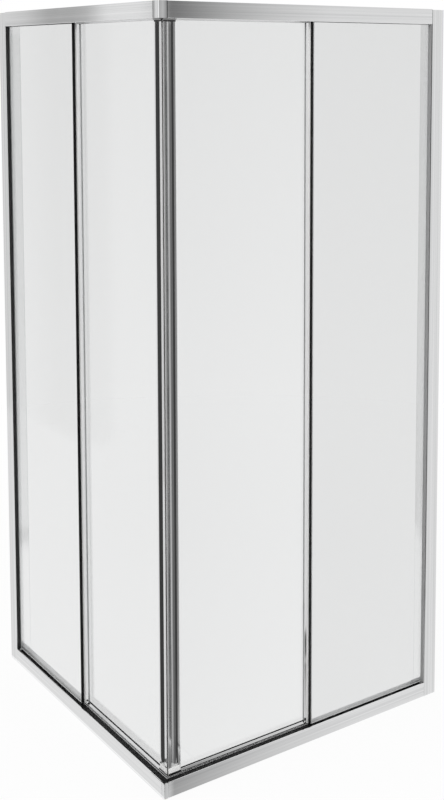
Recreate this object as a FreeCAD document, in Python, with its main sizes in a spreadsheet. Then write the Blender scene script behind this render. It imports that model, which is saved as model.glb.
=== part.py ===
# Corner-entry shower enclosure with two sliding doors, in millimetres.
# The origin is the centre of the square footprint at tray level, with +Z up.
# The glazed sides meet at the front corner (-X, -Y). The room walls are at +X and +Y.
# The front side is modelled, and the left side is its mirror image across the plane x = y.
# On the front side u runs along X from the corner, d runs inwards along Y and z runs up.
import FreeCAD, Part
import os
import re
import Sketcher

SIZES = {
    # whole enclosure
    "width": 880,
    "height": 1900,
    # aluminium rails
    "rail_height": 40,
    "rail_wall": 2,
    "channel_depth": 16,
    "mid_wall_drop": 2,
    "inner_drop": 10,
    "bead_width": 1.6,
    "bead_height": 2.5,
    "lip_level": 10,
    "lip_clear": 1,
    "port_block": 6.4,
    "port_radius": 1.7,
    "port_gap": 1.15,
    "mitre_margin": 1,
    "edge_break": 0.6,
    # wall profile and side frame
    "wall_cover": 40,
    "joint_line": 1,
    "top_step": 2,
    "slide_gap": 0.4,
    "adjust_room": 6,
    "pocket_depth": 12,
    "frame_lip": 1.5,
    "fixing_inset": 150,
    "fixing_radius": 2.75,
    "lock_inset": 250,
    "lock_from_frame": 20,
    # corner connectors
    "connector_overlap": 3,
    "bottom_leg": 13,
    "joint_groove_width": 1.8,
    "joint_groove_depth": 1.2,
    "corner_radius": 3,
    "spigot_length": 30,
    "spigot_gap": 0.3,
    "spigot_screw_inset": 15,
    # fixed pane
    "glass_thickness": 5,
    "fixed_setback": 11,
    "fixed_reach": 393,
    "glass_bite": 12,
    "gasket_back": 2,
    "gasket_base": 2,
    "gasket_drop": 5,
    "edge_strip_width": 2.5,
    "edge_strip_nose": 1.5,
    "edge_strip_cheek": 1.2,
    "infill_wall": 1.5,
    "infill_drop": 1,
    # sliding door
    "door_gap": 2,
    "door_depth": 16,
    "bottom_reveal": 6,
    "top_reveal": 3,
    "member_height": 16,
    "member_web": 5,
    "glazing_line": 1.5,
    "bevel_width": 4,
    "bevel_depth": 3,
    "door_glass_bite": 8,
    "closing_width": 36,
    "closing_pocket": 7,
    "groove_from_edge": 18.5,
    "groove_depth": 6,
    "groove_radius": 10.5,
    "lower_cap": 14,
    "upper_cap": 4,
    "rear_width": 20,
    "rear_pocket": 6,
    "rear_show": 7,
    "stile_gasket_base": 1.5,
    "magnet_gap": 0.25,
    "magnet_width": 3,
    "magnet_bevel": 1.5,
    "magnet_inset": 1,
    "seal_end_gap": 1,
    "wiper_plate": 0.8,
    "wiper_base": 3.5,
    "wiper_tip": 0.8,
    "wiper_lean": 5,
    "wiper_gap": 0.4,
    "stop_length": 19.5,
    "stop_inset": 2,
    "stop_margin": 1,
    # rollers and what carries them
    "roller_inset": 34,
    "roller_width": 5.5,
    "roller_groove": 8,
    "roller_flange": 1.3,
    "groove_root": 2.2,
    "groove_mouth": 3.6,
    "roll_gap": 0.3,
    "run_gap": 0.05,
    "axle_radius": 2,
    "axle_head": 1.2,
    "axle_head_length": 0.8,
    "axle_play": 0.1,
    "wheel_offset": 3.2,
    "wheel_room": 1.15,
    "plate": 2.5,
    "plate_from_back": 1,
    "bracket_length": 32,
    "bracket_setback": 2,
    "hanger_web": 20,
    "hanger_margin": 6.5,
    "fork_length": 14,
    "fork_wall": 2,
    "fork_gap": 0.4,
    "fork_margin": 3.5,
    # screws
    "screw_radius": 1.6,
    "screw_head_radius": 3.2,
    "screw_head_height": 2.2,
    "screw_gap": 0.3,
    "screw_length": 12,
    "stile_screw_length": 46,
    "bracket_screw_length": 6.5,
    "bracket_screw_pitch": 22,
    "stile_screw_inset": 14.5,
    "stile_screw_depth": 6,
    "rear_screw_inset": 4,
}

doc = FreeCAD.newDocument("shower_enclosure")
sheet = doc.addObject("Spreadsheet::Sheet", "Sizes")
for row, (alias, value) in enumerate(SIZES.items(), start=1):
    sheet.set(f"A{row}", alias)
    sheet.set(f"B{row}", str(value))
    sheet.setAlias(f"B{row}", alias)
doc.recompute()

# Depths d from the outer face of a side.
fixed_front = "fixed_setback"
fixed_back = "(fixed_setback + glass_thickness)"
frame_near = "(rail_wall + slide_gap + rail_wall)"
frame_lip_end = f"({fixed_front} - glazing_line)"
mid_front = f"({fixed_back} + gasket_back)"
mid_back = f"({mid_front} + rail_wall)"
door_front = f"({mid_back} + door_gap)"
door_back = f"({door_front} + door_depth)"
door_middle = f"({door_front} + door_depth / 2)"
pane_front = f"({door_middle} - glass_thickness / 2)"
pane_back = f"({door_middle} + glass_thickness / 2)"
lip_front = f"({pane_front} - glazing_line)"
lip_back = f"({pane_back} + glazing_line)"
bevel_front = f"({door_front} + bevel_depth)"
bevel_back = f"({door_back} - bevel_depth)"
wheel_middle = f"({door_back} + wheel_offset)"
wheel_near = f"({wheel_middle} - roller_width / 2)"
wheel_far = f"({wheel_middle} + roller_width / 2)"
inner_front = f"({wheel_far} + axle_play + axle_head_length + wheel_room)"
rail_depth = f"({inner_front} + rail_wall)"
flange_out = f"({inner_front} - slide_gap)"
flange_in = f"({flange_out} - rail_wall)"
plate_back = f"({door_back} - plate_from_back)"
plate_front = f"({plate_back} - plate)"
fork_in = "(roller_width / 2 + fork_gap)"
fork_out = f"({fork_in} + fork_wall)"
lower_port = f"({door_middle} + {fork_out} + port_gap + port_block / 2)"
upper_port = f"({mid_back} + port_block / 2)"

# Distances u from the front corner along a side.
frame_start = "(width - wall_cover)"
frame_back = f"({frame_start} + rail_wall)"
frame_lip_back = f"({frame_start} + frame_lip)"
flange_end = "(width - rail_wall - adjust_room)"
pocket_floor = f"({frame_start} + pocket_depth)"
fixed_end = f"({pocket_floor} - gasket_base)"
edge_front = f"({frame_start} - fixed_reach)"
edge_back = f"({edge_front} + edge_strip_width)"
fixed_start = f"({edge_front} + edge_strip_nose)"
rear_edge = f"({edge_front} - rear_show)"
rear_end = f"({rear_edge} + rear_width)"
nose_offset = "(magnet_gap + magnet_width)"
nose_front = f"({door_front} + {nose_offset})"
nose_back = f"({door_back} + {nose_offset})"
closing_edge = f"({nose_front} + closing_width)"
pane_start = f"({closing_edge} - closing_pocket + stile_gasket_base)"
pane_end = f"({rear_edge} + rear_pocket - stile_gasket_base)"
top_leg = f"({door_front} + connector_overlap)"
stop_start = f"({frame_start} - stop_length)"
closing_roller = f"({closing_edge} + roller_inset)"
rear_roller = f"({rear_edge} - roller_inset)"

# Heights z.
top_start = "(height - rail_height)"
post_top = "(height - top_step)"
shelf_low = "(rail_height - channel_depth)"
shelf_high = f"({top_start} + channel_depth)"
gasket_low = "(rail_height - gasket_drop)"
gasket_high = f"({top_start} + gasket_drop)"
infill_low = "(rail_height - infill_drop)"
infill_high = f"({top_start} + infill_drop)"
fixed_low = "(rail_height - glass_bite)"
fixed_high = f"({top_start} + glass_bite)"
roof = "(height - rail_wall)"
door_low = "(rail_height + bottom_reveal)"
door_high = f"({top_start} - top_reveal)"
stile_low = f"({door_low} + lower_cap)"
stile_high = f"({door_high} - upper_cap)"
member_low = f"({door_low} - member_height)"
member_high = f"({door_high} + member_height)"
web_low = f"({member_low} + member_web)"
web_high = f"({member_high} - member_web)"
pane_low = f"({door_low} - door_glass_bite)"
pane_high = f"({door_high} + door_glass_bite)"
seal_low = "(rail_height + seal_end_gap)"
seal_high = f"({top_start} - seal_end_gap)"
lip_top = f"({top_start} + lip_level + rail_wall)"
lower_axle = "(rail_wall + bead_height + roll_gap + roller_groove)"
upper_axle = f"({lip_top} + bead_height + roll_gap + roller_groove)"
lower_port_level = "(rail_wall + port_block / 2)"
upper_port_level = f"({roof} - port_block / 2)"
lower_spigot_level = f"({shelf_low} / 2)"
upper_spigot_level = f"(({shelf_high} + height) / 2)"
plate_low = f"({member_low} - plate)"
plate_high = f"({member_high} + plate)"

loose_hole = "(screw_radius + screw_gap)"
close_hole = "(screw_radius + run_gap)"
axle_hole = "(axle_radius + run_gap)"
axle_rim = "(axle_radius + axle_head)"

TO_X = FreeCAD.Rotation(FreeCAD.Vector(0, 1, 0), 90)
TO_Y = FreeCAD.Rotation(FreeCAD.Vector(1, 0, 0), -90)
TO_LOW = FreeCAD.Rotation(FreeCAD.Vector(1, 0, 0), 180)
TO_HIGH = FreeCAD.Rotation()

WORD = re.compile(r"[a-z_]+")
nodes = []
pockets = []


def bind(item, target, expression):
    item.setExpression(target, WORD.sub(lambda word: "Sizes." + word.group(0), expression))


def new_body(label, u="0", d="0", z="0", turned=None):
    body = doc.addObject("PartDesign::Body", label)
    body.Label = label
    if turned:
        body.Placement = FreeCAD.Placement(FreeCAD.Vector(), turned)
    bind(body, "Placement.Base.x", f"{u} - width / 2")
    bind(body, "Placement.Base.y", f"{d} - width / 2")
    bind(body, "Placement.Base.z", z)
    return body


def new_sketch(body, plane, offset="0"):
    sketch = body.newObject("Sketcher::SketchObject", "Sketch")
    support = [item for item in body.Origin.OriginFeatures if item.Role == plane][0]
    sketch.AttachmentSupport = [(support, "")]
    sketch.MapMode = "FlatFace"
    bind(sketch, "AttachmentOffset.Base.z", offset)
    return sketch


def fix_point(sketch, geometry, position, point):
    for kind, expression in zip(("DistanceX", "DistanceY"), point):
        index = sketch.addConstraint(Sketcher.Constraint(kind, -1, 1, geometry, position, 1.0))
        bind(sketch, f"Constraints[{index}]", expression)


def draw_outline(sketch, points):
    first = sketch.GeometryCount
    count = len(points)
    corners = [FreeCAD.Vector(10 * index, index * index, 0) for index in range(count)]
    for index in range(count):
        sketch.addGeometry(Part.LineSegment(corners[index], corners[(index + 1) % count]))
    for index in range(count):
        following = first + (index + 1) % count
        sketch.addConstraint(Sketcher.Constraint("Coincident", first + index, 2, following, 1))
    for index, point in enumerate(points):
        fix_point(sketch, first + index, 1, point)


def draw_circle(sketch, centre, radius):
    circle = Part.Circle(FreeCAD.Vector(1, 1, 0), FreeCAD.Vector(0, 0, 1), 1)
    geometry = sketch.addGeometry(circle)
    fix_point(sketch, geometry, 3, centre)
    index = sketch.addConstraint(Sketcher.Constraint("Radius", geometry, 1.0))
    bind(sketch, f"Constraints[{index}]", radius)


def rectangle(low, high):
    return [low, (high[0], low[1]), high, (low[0], high[1])]


# A pad runs along +X, +Y or +Z, from the given start to the given end.
def pad(body, plane, start, end, *outlines, holes=()):
    backwards = plane == "XZ_Plane"
    sketch = new_sketch(body, plane, f"-({start})" if backwards else start)
    for points in outlines:
        draw_outline(sketch, points)
    for centre, radius in holes:
        draw_circle(sketch, centre, radius)
    feature = body.newObject("PartDesign::Pad", "Pad")
    feature.Profile = sketch
    feature.Reversed = backwards
    bind(feature, "Length", f"{end} - {start}")


# A pocket runs the same way. It cuts the outlines and the round holes.
def pocket(body, plane, start, end, *outlines, holes=()):
    backwards = plane == "XZ_Plane"
    sketch = new_sketch(body, plane, f"-({start})" if backwards else start)
    for points in outlines:
        draw_outline(sketch, points)
    for centre, radius in holes:
        draw_circle(sketch, centre, radius)
    feature = body.newObject("PartDesign::Pocket", "Pocket")
    feature.Profile = sketch
    feature.Reversed = not backwards
    bind(feature, "Length", f"{end} - {start}")
    pockets.append(feature)


# A turned piece: its half section is drawn as (radius, distance along its axis).
def turn(body, points):
    sketch = new_sketch(body, "XZ_Plane")
    draw_outline(sketch, points)
    feature = body.newObject("PartDesign::Revolution", "Revolution")
    feature.Profile = sketch
    feature.ReferenceAxis = (sketch, ["V_Axis"])
    feature.Angle = 360


# A pan-head screw that starts at its tip.
def screw(u, d, z, turned, length):
    body = new_body("screw", u, d, z, turned)
    head_top = f"{length} + screw_head_height"
    points = [("0", "0"), ("screw_radius", "0"), ("screw_radius", length)]
    points += [("screw_head_radius", length), ("screw_head_radius", head_top), ("0", head_top)]
    turn(body, points)
    return body


def group(label, members):
    compound = doc.addObject("Part::Compound", label)
    compound.Label = label
    compound.Links = members
    return compound


def section_upright(label, low, high, points, holes=()):
    body = new_body(label)
    pad(body, "XY_Plane", low, high, points, holes=holes)
    return body


def section_along(label, start, end, points):
    body = new_body(label)
    pad(body, "YZ_Plane", start, end, points)
    return body


# Rails

# Behind the connector the two sides' rails meet on the diagonal.
def mitre_rail(body, leg, low, high):
    far = f"({rail_depth} + mitre_margin)"
    pocket(body, "XY_Plane", low, high, [(leg, leg), (far, far), (leg, far)])


def rail_screw_hole(body, leg, level):
    centre = (f"({leg} + spigot_screw_inset)", level)
    pocket(body, "XZ_Plane", mid_front, mid_back, holes=[(centre, loose_hole)])


def bottom_rail():
    body = new_body("front_bottom_rail")
    bead_left = f"({door_middle} - bead_width / 2)"
    bead_right = f"({door_middle} + bead_width / 2)"
    bead_top = "(rail_wall + bead_height)"
    port_left = f"({lower_port} - port_block / 2)"
    port_right = f"({lower_port} + port_block / 2)"
    port_top = "(rail_wall + port_block)"
    inner_top = "(rail_height - inner_drop)"
    mid_top = "(rail_height - mid_wall_drop)"
    outer = [("0", "0"), (rail_depth, "0"), (rail_depth, inner_top), (inner_front, inner_top)]
    outer += [(inner_front, "rail_wall"), (port_right, "rail_wall"), (port_right, port_top)]
    outer += [(port_left, port_top), (port_left, "rail_wall"), (bead_right, "rail_wall")]
    outer += [(bead_right, bead_top), (bead_left, bead_top), (bead_left, "rail_wall")]
    outer += [(mid_back, "rail_wall"), (mid_back, mid_top), (mid_front, mid_top)]
    outer += [(mid_front, shelf_low), ("rail_wall", shelf_low), ("rail_wall", "rail_height")]
    outer += [("edge_break", "rail_height"), ("0", "(rail_height - edge_break)")]
    chamber = rectangle(("rail_wall", "rail_wall"), (mid_front, f"({shelf_low} - rail_wall)"))
    port = ((lower_port, lower_port_level), "port_radius")
    pad(body, "YZ_Plane", "bottom_leg", frame_start, outer, chamber, holes=[port])
    mitre_rail(body, "bottom_leg", "0", "rail_height")
    rail_screw_hole(body, "bottom_leg", lower_spigot_level)
    return body


def top_rail():
    body = new_body("front_top_rail")
    bead_left = f"({wheel_middle} - bead_width / 2)"
    bead_right = f"({wheel_middle} + bead_width / 2)"
    bead_top = f"({lip_top} + bead_height)"
    lip_edge = f"({door_back} + lip_clear)"
    lip_bottom = f"({lip_top} - rail_wall)"
    port_right = f"({mid_back} + port_block)"
    port_bottom = f"({roof} - port_block)"
    mid_bottom = f"({top_start} + mid_wall_drop)"
    outer = [("0", f"({top_start} + edge_break)"), ("edge_break", top_start)]
    outer += [("rail_wall", top_start), ("rail_wall", shelf_high), (mid_front, shelf_high)]
    outer += [(mid_front, mid_bottom), (mid_back, mid_bottom)]
    outer += [(mid_back, port_bottom), (port_right, port_bottom), (port_right, roof)]
    outer += [(inner_front, roof), (inner_front, lip_top), (bead_right, lip_top)]
    outer += [(bead_right, bead_top), (bead_left, bead_top), (bead_left, lip_top)]
    outer += [(lip_edge, lip_top), (lip_edge, lip_bottom), (inner_front, lip_bottom)]
    outer += [(inner_front, top_start), (rail_depth, top_start), (rail_depth, "height")]
    outer += [("edge_break", "height"), ("0", "(height - edge_break)")]
    chamber = rectangle(("rail_wall", f"({shelf_high} + rail_wall)"), (mid_front, roof))
    port = ((upper_port, upper_port_level), "port_radius")
    pad(body, "YZ_Plane", top_leg, frame_start, outer, chamber, holes=[port])
    mitre_rail(body, top_leg, top_start, "height")
    rail_screw_hole(body, top_leg, upper_spigot_level)
    return body


# Corner connectors

# The block's visible faces end in a shadow groove beside the rails. The infill runs through its channel.
def connector(label, leg, block_span, channel, channel_span, spigot_span, level):
    body = new_body(label)
    tip = f"({leg} + spigot_length)"
    near = "(rail_wall + spigot_gap)"
    far = f"({mid_front} - spigot_gap)"
    spigot = rectangle((near, spigot_span[0]), (far, spigot_span[1]))
    hole = [((f"({leg} + spigot_screw_inset)", level), close_hole)]
    groove_start = f"({leg} - joint_groove_width)"
    front_groove = rectangle((groove_start, "0"), (leg, "joint_groove_depth"))
    left_groove = rectangle(("0", groove_start), ("joint_groove_depth", leg))
    pad(body, "XY_Plane", *block_span, rectangle(("0", "0"), (leg, leg)))
    doc.recompute()
    block = body.Tip
    upright = [edge for edge in block.Shape.Edges if abs(edge.BoundBox.ZLength) > 1]
    corner = min(upright, key=lambda edge: edge.CenterOfMass.x + edge.CenterOfMass.y)
    number = [edge.isSame(corner) for edge in block.Shape.Edges].index(True) + 1
    fillet = body.newObject("PartDesign::Fillet", "Fillet")
    fillet.Base = (block, [f"Edge{number}"])
    bind(fillet, "Radius", "corner_radius")
    pad(body, "YZ_Plane", leg, tip, spigot)
    pad(body, "XZ_Plane", leg, tip, spigot)
    pocket(body, "XY_Plane", *channel_span, channel)
    pocket(body, "XY_Plane", *block_span, front_groove, left_groove)
    pocket(body, "XZ_Plane", near, far, holes=hole)
    pocket(body, "YZ_Plane", near, far, holes=hole)
    return body


def bottom_connector():
    channel = rectangle(("rail_wall", "rail_wall"), ("bottom_leg", "bottom_leg"))
    spigot_span = ("(rail_wall + spigot_gap)", f"({shelf_low} - rail_wall - spigot_gap)")
    spans = [("0", "rail_height"), channel, (shelf_low, "rail_height"), spigot_span]
    return connector("bottom_corner_connector", "bottom_leg", *spans, lower_spigot_level)


def top_connector():
    channel = [("rail_wall", "rail_wall"), (top_leg, "rail_wall"), (top_leg, mid_front)]
    channel += [(mid_front, mid_front), (mid_front, top_leg), ("rail_wall", top_leg)]
    spigot_span = (f"({shelf_high} + rail_wall + spigot_gap)", f"({roof} - spigot_gap)")
    spans = [(top_start, "height"), channel, (top_start, shelf_high), spigot_span]
    return connector("top_corner_connector", top_leg, *spans, upper_spigot_level)


def spigot_screws():
    d = f"({mid_back} - screw_length)"
    places = [("bottom_leg", lower_spigot_level), (top_leg, upper_spigot_level)]
    return [screw(f"({leg} + spigot_screw_inset)", d, level, TO_Y, "screw_length") for leg, level in places]


# Wall profile and side frame

def lock_levels():
    return ["lock_inset", "(height / 2)", "(height - lock_inset)"]


def lock_holes(radius):
    return [((f"({frame_start} + lock_from_frame)", level), radius) for level in lock_levels()]


def wall_profile():
    start = f"({frame_start} + joint_line)"
    web = "(width - rail_wall)"
    points = [(start, "edge_break"), (f"({start} + edge_break)", "0"), ("width", "0")]
    points += [("width", rail_depth), (start, rail_depth), (start, inner_front)]
    points += [(web, inner_front), (web, "rail_wall"), (start, "rail_wall")]
    body = section_upright("front_wall_profile", "0", post_top, points)
    levels = ["fixing_inset", "(height / 2)", "(height - fixing_inset)"]
    fixings = [((f"({rail_depth} / 2)", level), "fixing_radius") for level in levels]
    pocket(body, "YZ_Plane", web, "width", holes=fixings)
    pocket(body, "XZ_Plane", inner_front, rail_depth, holes=lock_holes(loose_hole))
    return body


def side_frame():
    outer_face = "(rail_wall + slide_gap)"
    pocket_back = f"({pocket_floor} + rail_wall)"
    web_near = f"({mid_front} - slide_gap)"
    web_far = f"({web_near} + rail_wall)"
    points = [(frame_start, outer_face), (flange_end, outer_face), (flange_end, frame_near)]
    points += [(pocket_back, frame_near), (pocket_back, web_far), (frame_back, web_far)]
    points += [(frame_back, flange_in), (flange_end, flange_in), (flange_end, flange_out)]
    points += [(frame_start, flange_out), (frame_start, web_near), (pocket_floor, web_near)]
    points += [(pocket_floor, frame_near), (frame_lip_back, frame_near)]
    points += [(frame_lip_back, frame_lip_end), (frame_start, frame_lip_end)]
    body = section_upright("front_side_frame", "0", post_top, points)
    ports = [(lower_port, lower_port_level), (upper_port, upper_port_level)]
    holes = [(centre, loose_hole) for centre in ports]
    pocket(body, "YZ_Plane", frame_start, frame_back, holes=holes)
    pocket(body, "XZ_Plane", flange_in, flange_out, holes=lock_holes(close_hole))
    return body


def lock_screws():
    u = f"({frame_start} + lock_from_frame)"
    d = f"({rail_depth} - screw_length)"
    screws = [screw(u, d, level, TO_Y, "screw_length") for level in lock_levels()]
    return group("front_lock_screws", screws)


def rail_screws():
    u = f"({frame_back} - screw_length)"
    lower = screw(u, lower_port, lower_port_level, TO_X, "screw_length")
    upper = screw(u, upper_port, upper_port_level, TO_X, "screw_length")
    return group("front_rail_screws", [lower, upper])


# Fixed pane

def fixed_glass():
    points = rectangle((fixed_front, fixed_low), (fixed_back, fixed_high))
    return section_along("front_fixed_glass", fixed_start, fixed_end, points)


# A glazing strip wraps the pane's edge in its channel, which opens from the floor to the mouth.
def channel_strip(label, start, end, floor, mouth, pane):
    points = [("rail_wall", floor), (mid_front, floor), (mid_front, mouth), (fixed_back, mouth)]
    points += [(fixed_back, pane), (fixed_front, pane), (fixed_front, mouth), ("rail_wall", mouth)]
    return section_along(label, start, end, points)


def fixed_gasket():
    lower = channel_strip("lower_strip", edge_front, frame_start, shelf_low, gasket_low, fixed_low)
    upper = channel_strip("upper_strip", edge_front, frame_start, shelf_high, gasket_high, fixed_high)
    far = f"({mid_front} - slide_gap)"
    points = [(frame_lip_back, frame_near), (pocket_floor, frame_near), (pocket_floor, far)]
    points += [(frame_start, far), (frame_start, fixed_back), (fixed_end, fixed_back)]
    points += [(fixed_end, fixed_front), (frame_start, fixed_front), (frame_start, frame_lip_end)]
    points += [(frame_lip_back, frame_lip_end)]
    side = section_upright("side_strip", shelf_low, shelf_high, points)
    return group("front_fixed_gasket", [lower, upper, side])


def edge_strip():
    near = f"({fixed_front} - edge_strip_cheek)"
    far = f"({fixed_back} + edge_strip_cheek)"
    points = [(edge_front, near), (edge_back, near), (edge_back, fixed_front)]
    points += [(fixed_start, fixed_front), (fixed_start, fixed_back), (edge_back, fixed_back)]
    points += [(edge_back, far), (edge_front, far)]
    return section_upright("front_edge_strip", gasket_low, gasket_high, points)


# The infill closes the glazing channel in front of the door, and is mitred at the corner.
def infill_strip(label, floor, mouth, under):
    far = f"({mid_front} + mitre_margin)"
    left = "(rail_wall + infill_wall)"
    right = f"({mid_front} - infill_wall)"
    points = [("rail_wall", floor), (left, floor), (left, under), (right, under), (right, floor)]
    points += [(mid_front, floor), (mid_front, mouth), ("rail_wall", mouth)]
    body = section_along(label, "rail_wall", edge_front, points)
    low, high = (floor, mouth) if floor == shelf_low else (mouth, floor)
    triangle = [("rail_wall", "rail_wall"), (far, far), ("rail_wall", far)]
    pocket(body, "XY_Plane", low, high, triangle)
    return body


def infill_strips():
    lower = infill_strip("lower_infill", shelf_low, infill_low, f"({infill_low} - infill_wall)")
    upper = infill_strip("upper_infill", shelf_high, infill_high, f"({infill_high} + infill_wall)")
    return group("front_infill_strips", [lower, upper])


def door_stops():
    near = f"({door_front} + stop_inset)"
    far = f"({door_back} - stop_inset)"
    low = rectangle((near, f"({member_low} + stop_margin)"), (far, "(rail_height - stop_margin)"))
    high = rectangle((near, f"({top_start} + stop_margin)"), (far, f"({member_high} - stop_margin)"))
    lower = section_along("lower_stop", stop_start, frame_start, low)
    upper = section_along("upper_stop", stop_start, frame_start, high)
    return group("front_door_stops", [lower, upper])


# Door frame and glass

closing_port = (f"({closing_edge} - stile_screw_inset)", f"({door_back} - stile_screw_depth)")
rear_port = (f"({rear_end} - rear_screw_inset)", door_middle)
roller_places = [closing_roller, rear_roller]


def bracket_screw_places():
    places = []
    for u in roller_places:
        places.append((f"({u} - bracket_screw_pitch / 2)", door_middle))
        places.append((f"({u} + bracket_screw_pitch / 2)", door_middle))
    return places


def closing_outline():
    pocket_end = f"({closing_edge} - closing_pocket)"
    bevel_start = f"({closing_edge} - bevel_width)"
    points = [(nose_front, door_front), (bevel_start, door_front), (closing_edge, bevel_front)]
    points += [(closing_edge, lip_front), (pocket_end, lip_front), (pocket_end, lip_back)]
    points += [(closing_edge, lip_back), (closing_edge, bevel_back), (bevel_start, door_back)]
    points += [(nose_back, door_back)]
    return points


def closing_stile():
    port = [(closing_port, close_hole)]
    body = section_upright("front_closing_stile", stile_low, stile_high, closing_outline(), holes=port)
    middle = f"({closing_edge} - groove_from_edge)"
    centre = (middle, f"({door_front} + groove_depth - groove_radius)")
    pocket(body, "XY_Plane", stile_low, stile_high, holes=[(centre, "groove_radius")])
    return body


def stile_caps():
    hole = [(closing_port, loose_hole)]
    lower = section_upright("lower_cap", door_low, stile_low, closing_outline(), holes=hole)
    upper = section_upright("upper_cap", stile_high, door_high, closing_outline(), holes=hole)
    return group("front_stile_caps", [lower, upper])


def rear_stile():
    pocket_end = f"({rear_edge} + rear_pocket)"
    bevel_start = f"({rear_edge} + bevel_width)"
    points = [(bevel_start, door_front), (rear_end, door_front), (rear_end, door_back)]
    points += [(bevel_start, door_back), (rear_edge, bevel_back), (rear_edge, lip_back)]
    points += [(pocket_end, lip_back), (pocket_end, lip_front), (rear_edge, lip_front)]
    points += [(rear_edge, bevel_front)]
    port = [(rear_port, close_hole)]
    return section_upright("front_rear_stile", door_low, door_high, points, holes=port)


# A member's section is a channel with a solid web. Its closing end is cut along the magnet strip.
# Its lips are bevelled between the stiles, as the stiles' own lips are.
def door_member(label, mouth, bevel_line, web_inside, web_outside, low, high):
    points = [(door_front, web_outside), (door_back, web_outside), (door_back, mouth)]
    points += [(lip_back, mouth), (lip_back, web_inside), (lip_front, web_inside)]
    points += [(lip_front, mouth), (door_front, mouth)]
    body = section_along(label, nose_front, rear_end, points)
    before = f"({nose_front} - mitre_margin)"
    beyond = f"({nose_back} + mitre_margin)"
    far = f"({door_back} + mitre_margin)"
    triangle = [(before, f"({door_front} - mitre_margin)"), (beyond, far), (before, far)]
    pocket(body, "XY_Plane", low, high, triangle)
    front_bevel = [(door_front, bevel_line), (door_front, mouth), (bevel_front, mouth)]
    back_bevel = [(door_back, bevel_line), (door_back, mouth), (bevel_back, mouth)]
    pocket(body, "YZ_Plane", closing_edge, rear_edge, front_bevel, back_bevel)
    holes = [(closing_port, loose_hole), (rear_port, loose_hole)]
    holes += [(place, close_hole) for place in bracket_screw_places()]
    pocket(body, "XY_Plane", low, high, holes=holes)
    return body


def bottom_member():
    levels = [door_low, f"({door_low} - bevel_width)", web_low, member_low]
    return door_member("front_bottom_member", *levels, member_low, door_low)


def top_member():
    levels = [door_high, f"({door_high} + bevel_width)", web_high, member_high]
    return door_member("front_top_member", *levels, door_high, member_high)


def door_glass():
    points = rectangle((pane_front, pane_low), (pane_back, pane_high))
    return section_along("front_door_glass", pane_start, pane_end, points)


def member_strip(label, mouth, floor, pane):
    points = [(lip_front, floor), (lip_back, floor), (lip_back, mouth), (pane_back, mouth)]
    points += [(pane_back, pane), (pane_front, pane), (pane_front, mouth), (lip_front, mouth)]
    return section_along(label, closing_edge, rear_edge, points)


def stile_strip(label, mouth, floor, pane):
    points = [(mouth, lip_front), (floor, lip_front), (floor, lip_back), (mouth, lip_back)]
    points += [(mouth, pane_back), (pane, pane_back), (pane, pane_front), (mouth, pane_front)]
    return section_upright(label, door_low, door_high, points)


def door_gasket():
    closing_floor = f"({closing_edge} - closing_pocket)"
    rear_floor = f"({rear_edge} + rear_pocket)"
    lower = member_strip("lower_glazing", door_low, web_low, pane_low)
    upper = member_strip("upper_glazing", door_high, web_high, pane_high)
    closing = stile_strip("closing_glazing", closing_edge, closing_floor, pane_start)
    rear = stile_strip("rear_glazing", rear_edge, rear_floor, pane_end)
    return group("front_door_gasket", [lower, upper, closing, rear])


# The strips of the two doors face each other across the diagonal, and leave a V between them in front.
def magnetic_strip():
    near = f"({door_front} + magnet_inset)"
    far = f"({door_back} - magnet_inset)"
    points = [(f"({near} + magnet_gap + magnet_bevel)", near), (f"({near} + {nose_offset})", near)]
    points += [(f"({far} + {nose_offset})", far), (f"({far} + magnet_gap)", far)]
    points += [(f"({door_middle} + magnet_gap)", door_middle)]
    return section_upright("front_magnetic_strip", seal_low, seal_high, points)


# The wiper's plate covers the rear stile's outer face, and its fin leans towards the fixed pane.
def rear_wiper():
    start = f"({rear_edge} + bevel_width)"
    plate = f"({door_front} - wiper_plate)"
    tip = f"({fixed_back} + wiper_gap)"
    tip_right = f"({rear_end} - wiper_lean)"
    points = [(start, door_front), (rear_end, door_front), (rear_end, plate), (tip_right, tip)]
    points += [(f"({tip_right} - wiper_tip)", tip), (f"({rear_end} - wiper_base)", plate), (start, plate)]
    return section_upright("front_rear_wiper", seal_low, seal_high, points)


# Hangers, carriers, axles and rollers

def hanger(u):
    body = new_body("hanger")
    near = f"({door_front} + bracket_setback)"
    foot = rectangle((near, member_high), (plate_back, plate_high))
    web_top = f"({upper_axle} + hanger_margin)"
    web = rectangle((plate_front, member_high), (plate_back, web_top))
    pad(body, "YZ_Plane", f"({u} - bracket_length / 2)", f"({u} + bracket_length / 2)", foot)
    pad(body, "YZ_Plane", f"({u} - hanger_web / 2)", f"({u} + hanger_web / 2)", web)
    pocket(body, "XZ_Plane", plate_front, plate_back, holes=[((u, upper_axle), axle_hole)])
    places = [f"({u} - bracket_screw_pitch / 2)", f"({u} + bracket_screw_pitch / 2)"]
    holes = [((place, door_middle), loose_hole) for place in places]
    pocket(body, "XY_Plane", member_high, plate_high, holes=holes)
    return body


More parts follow.
